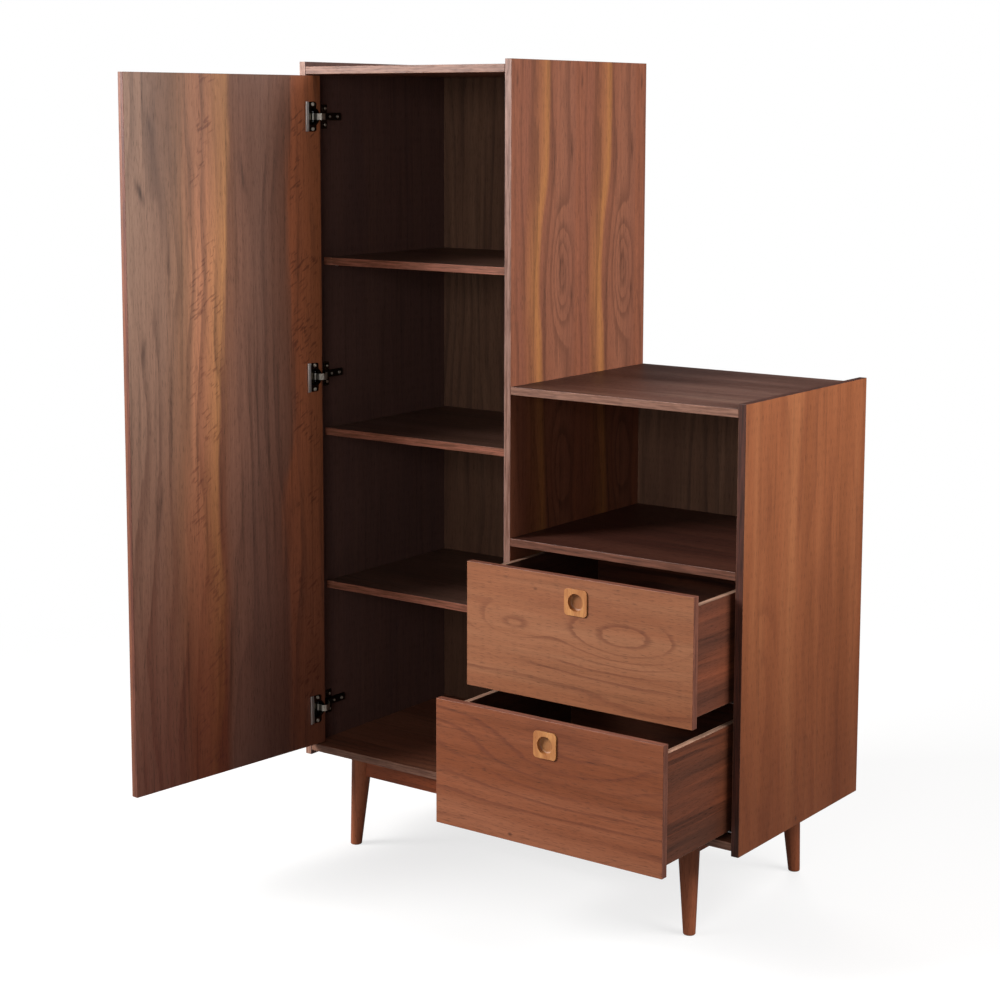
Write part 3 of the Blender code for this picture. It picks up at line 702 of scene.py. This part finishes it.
def handle_wood(name, seed, axis, shallow, deep):
    """Oak for a plate whose dish is painted darker with depth, a painted shade, from shallow to deep along the axis.
    """
    made = bpy.data.materials.new(name)
    made.use_nodes = True
    tree = made.node_tree
    shader = tree.nodes["Principled BSDF"]
    place = add(tree, "TexCoord", out="Object")
    wide = noise(tree, place, OAK_GRAIN, seed, 3)
    fine = noise(tree, place, OAK_PORES, seed + 5, 2)
    wide = add(tree, "MapRange", wide, 0.3, 0.7, interpolation_type="SMOOTHSTEP")
    colour = add(tree, "Mix", named={0: wide, 6: linear("#a8693a"), 7: linear("#cc8f55")}, out=2, data_type="RGBA")
    dashes = add(tree, "MapRange", fine, 0.55, 0.68, interpolation_type="SMOOTHSTEP")
    dashes = add(tree, "Math", dashes, 0.5, operation="MULTIPLY")
    colour = add(tree, "Mix", named={0: dashes, 6: colour, 7: linear("#86491f")}, out=2, data_type="RGBA")
    # Painted shade: the dish darkens with its depth.
    depth = add(tree, "SeparateXYZ", place, out=axis)
    sunk = add(tree, "MapRange", depth, shallow, deep, interpolation_type="SMOOTHSTEP")
    dish_shade = add(tree, "Math", sunk, 0.45, operation="MULTIPLY")
    colour = add(tree, "Mix", named={0: dish_shade, 6: colour, 7: linear("#5a2f16")}, out=2, data_type="RGBA")
    tree.links.new(colour, shader.inputs["Base Color"])
    shader.inputs["Roughness"].default_value = 0.48
    bump = add(tree, "Bump", named={"Strength": 0.3, "Distance": 0.05 * MM, "Height": fine})
    tree.links.new(bump, shader.inputs["Normal"])
    return made


# Oiled oak is paler than the walnut and has a dull sheen, with short dark dashes where its pores lie open. The
# dish is painted darker with its depth, a painted shade in the hollow. Real pores are some 0.3 mm wide and are drawn
# 1.1 mm wide, so that they show.
for name, seed, axis, shallow, deep in (
    ("door_handle", 71.0, "X", -0.5190, -0.5140),
    ("upper_drawer_handle", 72.0, "Y", -0.1350, -0.1310),
    ("lower_drawer_handle", 73.0, "Y", -0.2270, -0.2230),
):
    dress(name, handle_wood("oiled_oak_" + name, seed, axis, shallow, deep))


# Hinges and runners: three concealed cup hinges for the door and two runners for each drawer. The hinges are
# pressed from sheet steel and nickel plated, the runners rolled from strip and zinc plated; all are screwed on.

CLOUDS = (11.11, 11.11, 11.11)


def plated(name, bright, dull, roughness, brush, painted_shade_back=None):
    """A plated steel, its tone and gloss drifting a little, brushed in marks of the given size in millimetres, with
    painted shade towards the back if asked.
    """
    made = bpy.data.materials.new(name)
    made.use_nodes = True
    tree = made.node_tree
    shader = tree.nodes["Principled BSDF"]
    place = add(tree, "TexCoord", out="Object")
    brushed = noise(tree, place, brush, 8.0, 2)
    cloud = noise(tree, place, CLOUDS, 3.0, 3)
    colour = add(tree, "Mix", named={0: cloud, 6: linear(dull), 7: linear(bright)}, out=2, data_type="RGBA")
    # Painted shade: the tone darkens towards the back, along Y.
    if painted_shade_back:
        start, end, tone = painted_shade_back
        depth = add(tree, "SeparateXYZ", place, out="Y")
        back = add(tree, "MapRange", depth, start, end, interpolation_type="SMOOTHSTEP")
        colour = add(tree, "Mix", named={0: back, 6: colour, 7: linear(tone)}, out=2, data_type="RGBA")
    tree.links.new(colour, shader.inputs["Base Color"])
    rough = add(tree, "MapRange", brushed, 0.2, 0.8, roughness - 0.06, roughness + 0.1)
    tree.links.new(rough, shader.inputs["Roughness"])
    shader.inputs["Metallic"].default_value = 1.0
    bump = add(tree, "Bump", named={"Strength": 0.15, "Distance": 0.03 * MM, "Height": brushed})
    tree.links.new(bump, shader.inputs["Normal"])
    return made


# Nickel plate is a warm, pale metal. It is satin on the screws, and on the arms, which are painted darker where they
# run back into the cabinet, a painted shade; in the cups and on the mounting plates it is polished and painted dark, a
# painted shade for the dark room that it mirrors there, and on the cups' rims it is painted brighter, a painted
# highlight. Zinc plate is cooler and greyer. Brush marks are really some 0.05 mm wide; they are drawn 0.8 to 1.1 mm
# wide, so that they show.
BRUSHED_UP = (0.8333, 0.8333, 16.67)
BRUSHED_BACK = (0.8333, 16.67, 0.8333)
ROLLED_BACK = (1.111, 25, 1.111)
nickel = plated("nickel_plated_steel", "#e6e0d4", "#bab2a4", 0.42, BRUSHED_UP)
shaded_nickel = plated("polished_nickel_with_painted_shade_in_the_cup", "#6b655d", "#4c4741", 0.16, BRUSHED_UP)
# Painted highlight: the rims take a whiter copy of the nickel.
highlit_nickel = plated("nickel_rim_with_painted_highlight", "#ffffff", "#efece6", 0.5, BRUSHED_UP)
arm_nickel = plated("nickel_plated_arm", "#e6e0d4", "#bab2a4", 0.40, BRUSHED_BACK, (0.030, 0.048, "#3d3833"))
zinc = plated("zinc_plated_steel", "#c9ccd0", "#8f949a", 0.34, ROLLED_BACK)

for level in ("lower", "middle", "upper"):
    for part, metal in (("hinge_cup", shaded_nickel), ("hinge_arm", arm_nickel), ("mounting_plate", shaded_nickel)):
        dress(f"{level}_{part}", metal)
    dress(f"{level}_hinge_pin", zinc)
for level in ("lower", "upper"):
    for side in ("left", "right"):
        for part in ("cabinet", "middle", "drawer"):
            dress(f"{level}_{side}_{part}_member", zinc)


# Hinge rims and screws: a raised rim pressed along each cup's far side, two screws that hold the cup, two that
# hold the plate, and two on the arm. Rims and cup screws are made on the shut door and turned with it.

REST = Matrix.Translation(PIN) @ Matrix.Rotation(-OPEN, 4, "Z") @ Matrix.Translation(-Vector(PIN))
SMOOTH_BELOW = math.radians(35)

HINGE_HEIGHTS = (("lower", 0.276), ("middle", 0.956), ("upper", 1.471))
RIM_CENTRE = (-0.4405, 0.01702)
RIM_STEP = -0.4382  # where the flat rim turns up into its raised edge
RIM_WIDE, RIM_TALL = 9 * MM, 58 * MM
RIM_LOW, RIM_RISE = 0.8 * MM, 2.2 * MM

HEAD_HEIGHT = 1.6 * MM
CUP_SCREW = (-0.45548, 0.01696)
PLATE_SCREW = (-0.47548, 0.0542)
ARM_FIXING = (-0.47278, 0.0886)
ARM_SETTING = (-0.47278, 0.0656)
CUP_HALF_SPACING = 24 * MM
PLATE_HALF_SPACING = 16 * MM


def settle(piece, name, body, material, move=None):
    """Names a finished piece, bakes its place into its mesh, and makes it ride on its body."""
    piece.name = piece.data.name = name
    piece.data.transform(piece.matrix_world)
    piece.matrix_world = Matrix.Identity(4)
    if move:
        piece.data.transform(move)
    piece.data.materials.clear()
    piece.data.materials.append(material)
    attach(piece, body)


def choose(mesh, test):
    """Selects just the faces whose centre and normal pass a test, in edit mode."""
    bpy.ops.mesh.select_mode(type="FACE")
    bpy.ops.mesh.select_all(action="DESELECT")
    shape = bmesh.from_edit_mesh(mesh)
    for face in shape.faces:
        face.select_set(test(face.calc_center_median(), face.normal))
    bmesh.update_edit_mesh(mesh)


def screw_pattern(radius):
    """A pan-head screw's head, with a tapered driver recess, to be copied."""
    bpy.ops.mesh.primitive_cylinder_add(vertices=28, radius=radius, depth=HEAD_HEIGHT)
    piece = bpy.context.object
    bpy.ops.object.mode_set(mode="EDIT")
    choose(piece.data, lambda centre, normal: normal.z > 0.9)
    bpy.ops.mesh.bevel(offset=0.45 * MM, segments=3)
    choose(piece.data, lambda centre, normal: normal.z > 0.99 and centre.z > 0.7 * MM)
    bpy.ops.mesh.inset(thickness=radius * 0.42)
    bpy.ops.mesh.extrude_region_move(TRANSFORM_OT_translate={"value": (0, 0, -0.9 * MM)})
    bpy.ops.transform.resize(value=(0.55, 0.55, 1))
    bpy.ops.object.mode_set(mode="OBJECT")
    bpy.ops.object.shade_smooth_by_angle(angle=SMOOTH_BELOW)
    piece.select_set(False)
    return piece


def copied(pattern, place, facing, half_depth):
    """A copy of a pattern with its own mesh, standing on a face at this place and pointing the way it faces."""
    piece = pattern.copy()
    piece.data = pattern.data.copy()
    scene.collection.objects.link(piece)
    turned = Vector(facing).to_track_quat("Z", "Y").to_matrix().to_4x4()
    piece.matrix_world = Matrix.Translation(Vector(place) + Vector(facing) * half_depth) @ turned
    return piece


cup_pattern = screw_pattern(3.6 * MM)
plate_pattern = screw_pattern(3.0 * MM)
fixing_pattern = screw_pattern(3.4 * MM)
setting_pattern = screw_pattern(2.8 * MM)

for level, middle in HINGE_HEIGHTS:
    bpy.ops.mesh.primitive_plane_add(size=1, location=(*RIM_CENTRE, middle), rotation=(math.radians(-90), 0, 0))
    rim = bpy.context.object
    rim.scale = (RIM_WIDE, RIM_TALL, 1)
    bpy.ops.object.transform_apply(location=True, rotation=True, scale=True)
    bpy.ops.object.mode_set(mode="EDIT")
    bpy.ops.mesh.select_all(action="SELECT")
    bpy.ops.mesh.bisect(plane_co=(RIM_STEP, 0, 0), plane_no=(1, 0, 0))
    bpy.ops.mesh.select_all(action="SELECT")
    bpy.ops.mesh.extrude_region_move(TRANSFORM_OT_translate={"value": (0, RIM_LOW, 0)})
    choose(rim.data, lambda centre, normal: normal.y > 0.9 and centre.x > RIM_STEP)
    bpy.ops.mesh.extrude_region_move(TRANSFORM_OT_translate={"value": (0, RIM_RISE, 0)})
    bpy.ops.mesh.select_all(action="SELECT")
    bpy.ops.mesh.normals_make_consistent(inside=False)
    bpy.ops.object.mode_set(mode="OBJECT")
    rounded = rim.modifiers.new("rounded", "BEVEL")
    rounded.width, rounded.segments, rounded.limit_method = 0.3 * MM, 2, "ANGLE"
    bpy.ops.object.modifier_apply(modifier=rounded.name)
    bpy.ops.object.shade_smooth_by_angle(angle=SMOOTH_BELOW)
    settle(rim, level + "_hinge_rim", "door", highlit_nickel, REST)
    rim.select_set(False)
    for end, side in (("top", 1), ("bottom", -1)):
        place = (*CUP_SCREW, middle + side * CUP_HALF_SPACING)
        piece = copied(cup_pattern, place, (0, 1, 0), HEAD_HEIGHT / 2)
        settle(piece, f"{level}_cup_screw_{end}", "door", nickel, REST)
        place = (*PLATE_SCREW, middle + side * PLATE_HALF_SPACING)
        piece = copied(plate_pattern, place, (1, 0, 0), HEAD_HEIGHT / 2)
        settle(piece, f"{level}_plate_screw_{end}", "cabinet", nickel)
    piece = copied(fixing_pattern, (*ARM_FIXING, middle), (1, 0, 0), HEAD_HEIGHT / 2)
    settle(piece, level + "_arm_fixing_screw", "cabinet", nickel)
    piece = copied(setting_pattern, (*ARM_SETTING, middle), (1, 0, 0), HEAD_HEIGHT / 2)
    settle(piece, level + "_arm_setting_screw", "cabinet", nickel)
for pattern in (cup_pattern, plate_pattern, fixing_pattern, setting_pattern):
    bpy.data.objects.remove(pattern)


# Shelf pins: four steel pegs under each loose shelf, turned from bar and zinc plated, each pushed into a hole in
# the side panel as far as its collar.

PIN_LENGTH = 6 * MM
PIN_RADIUS = 2.4 * MM
PIN_DROP = 2.6 * MM  # from the shelf's underside to the middle of the pin
LEFT_FACE, RIGHT_FACE = -0.47888, 0.00592
PIN_ROWS = (("front", 0.088), ("back", 0.408))

bpy.ops.mesh.primitive_cylinder_add(vertices=24, radius=PIN_RADIUS, depth=PIN_LENGTH)
pin_pattern = bpy.context.object
bpy.ops.object.mode_set(mode="EDIT")
choose(pin_pattern.data, lambda centre, normal: normal.z < -0.9)
bpy.ops.mesh.inset(thickness=-1.2 * MM)
choose(pin_pattern.data, lambda centre, normal: normal.z > 0.9)
bpy.ops.mesh.bevel(offset=0.7 * MM, segments=3)
bpy.ops.object.mode_set(mode="OBJECT")
bpy.ops.object.shade_smooth_by_angle(angle=SMOOTH_BELOW)
pin_pattern.select_set(False)

for name in ("lower_shelf", "centre_shelf", "upper_shelf"):
    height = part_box(name)[0].z - PIN_DROP
    for row, y in PIN_ROWS:
        for side, x, facing in (("left", LEFT_FACE, (1, 0, 0)), ("right", RIGHT_FACE, (-1, 0, 0))):
            piece = copied(pin_pattern, (x, y, height), facing, PIN_LENGTH / 2)
            settle(piece, f"{name}_pin_{row}_{side}", "cabinet", zinc)
bpy.data.objects.remove(pin_pattern)
